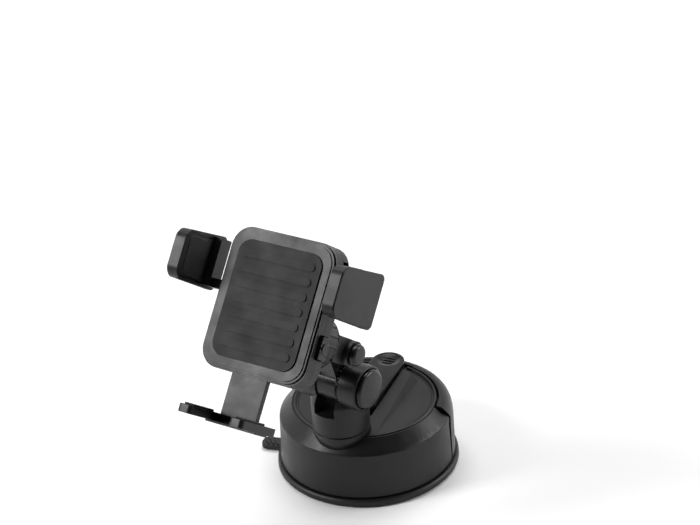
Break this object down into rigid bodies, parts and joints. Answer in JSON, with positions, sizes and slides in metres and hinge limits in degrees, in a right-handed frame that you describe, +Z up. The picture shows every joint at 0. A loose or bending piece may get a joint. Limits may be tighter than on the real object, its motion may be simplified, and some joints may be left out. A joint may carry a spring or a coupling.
{
  "type": "car phone mount",
  "caption": "Phone holder on a lever-locked suction base, with a swivel neck, tilting links, a ball joint and a clamping cradle.",
  "frame": {"origin": "centre of the suction pad's underside, on the surface it stands on", "axes": "+Z up; +X along the hinge pins; -Y is the side that the cradle leans out over"},
  "size_m": [0.0962, 0.1584, 0.1445],
  "materials": {
    "black_plastic": "fine moulded grain",
    "dark_plastic": "satin to glossy moulding",
    "rubber": "matte elastomer",
    "steel": "zinc plated",
    "nylon": "natural nylon",
    "ball_plastic": "smooth moulded acetal"
  },
  "bodies": {
    "base": {"suction_pad": "rubber", "stem_spring": "steel", "base_housing": "black_plastic", "rear_shell": "black_plastic", "top_deck": "black_plastic", "cam_washer": "steel", "deck_screws": "steel", "shell_screws": "steel", "neck_collar": "black_plastic", "swivel_washer": "steel"},
    "stem": {"pad_plate": "nylon", "lever_pin": "steel"},
    "lever": {"locking_lever": "dark_plastic"},
    "neck": {"swivel_screw": "steel", "neck_post": "black_plastic", "lower_bolt": "steel", "lower_nut": "steel", "lower_cap": "dark_plastic", "toothed_ring": "dark_plastic"},
    "link": {"link_arm": "dark_plastic"},
    "arm": {"socket_arm": "black_plastic", "upper_bolt": "steel", "upper_nut": "steel", "upper_cap": "dark_plastic", "ball_seat": "nylon", "ring_nut": "black_plastic"},
    "ball": {"swivel_ball": "ball_plastic"},
    "cradle": {"ball_stud": "ball_plastic", "stud_screws": "steel", "rear_cover": "black_plastic", "front_cover": "black_plastic", "back_pad": "rubber", "cover_screws": "steel", "pinion_pin": "steel", "pawl_pin": "steel", "pawl_spring": "steel", "jaw_spring": "steel"},
    "right_jaw": {"right_jaw": "black_plastic", "right_jaw_pad": "rubber"},
    "left_jaw": {"left_jaw": "black_plastic", "left_jaw_pad": "rubber"},
    "pinion": {"pinion": "nylon"},
    "pawl": {"pawl": "nylon"},
    "button": {"release_button": "dark_plastic"},
    "foot": {"foot_bracket": "black_plastic", "foot_pads": "rubber"}
  },
  "joints": [
    {"name": "lever", "type": "hinge", "parent": "stem", "child": "lever", "pos_m": [0, 0, 0.0295], "axis": [-0.9774, -0.2113, 0], "range_deg": [-90, 0]},
    {"name": "stem_slide", "type": "slide", "parent": "base", "child": "stem", "axis": [0, 0, 1], "range_m": [-0.0021, 0], "deforming": ["stem_spring", "suction_pad"]},
    {"name": "neck_swivel", "type": "hinge", "parent": "base", "child": "neck", "pos_m": [0.00562, -0.026, 0.0343], "axis": [0, 0, 1], "continuous": true},
    {"name": "lower_tilt", "type": "hinge", "parent": "neck", "child": "link", "pos_m": [0.00562, -0.026, 0.057], "axis": [1, 0, 0], "range_deg": [-40, 15]},
    {"name": "upper_tilt", "type": "hinge", "parent": "link", "child": "arm", "pos_m": [0.00562, -0.03202, 0.07733], "axis": [1, 0, 0], "range_deg": [-45, 10]},
    {"name": "ball_pan", "type": "hinge", "parent": "arm", "child": "ball", "pos_m": [0.00562, -0.04859, 0.09023], "axis": [0, 0.6143, 0.7891], "range_deg": [-20, 20]},
    {"name": "cradle_spin", "type": "hinge", "parent": "ball", "child": "cradle", "pos_m": [0.00562, -0.04859, 0.09023], "axis": [0, -0.7891, 0.6143], "continuous": true},
    {"name": "jaw_slide", "type": "slide", "parent": "cradle", "child": "right_jaw", "axis": [0.9993, 0.0236, 0.0303], "range_m": [-0.0075, 0.008], "deforming": ["jaw_spring"]},
    {"name": "left_jaw_slide", "type": "slide", "parent": "cradle", "child": "left_jaw", "axis": [-0.9993, -0.0236, -0.0303], "range_m": [-0.0075, 0.008]},
    {"name": "pinion_spin", "type": "hinge", "parent": "cradle", "child": "pinion", "pos_m": [0.00482, -0.05494, 0.12163], "axis": [0, 0.7891, -0.6143], "range_deg": [-72, 77]},
    {"name": "release_press", "type": "slide", "parent": "cradle", "child": "button", "axis": [-0.9993, -0.0236, -0.0303], "range_m": [0, 0.0012], "stiffness_N_per_m": 400, "springref_m": -0.001},
    {"name": "pawl_swing", "type": "hinge", "parent": "cradle", "child": "pawl", "pos_m": [0.01829, -0.07029, 0.10191], "axis": [0, -0.7891, 0.6143], "range_deg": [0, 10], "deforming": ["pawl_spring"]},
    {"name": "foot_slide", "type": "slide", "parent": "cradle", "child": "foot", "axis": [-0.0384, 0.6138, 0.7885], "range_m": [-0.015, 0.012]}
  ],
  "couplings": [
    {"joint": "stem_slide", "follows": "lever", "m_per_rad": 0.0012732},
    {"joint": "left_jaw_slide", "follows": "jaw_slide", "ratio": 1},
    {"joint": "pinion_spin", "follows": "jaw_slide", "rad_per_m": 166.67},
    {"joint": "pawl_swing", "follows": "release_press", "rad_per_m": 142.86}
  ]
}
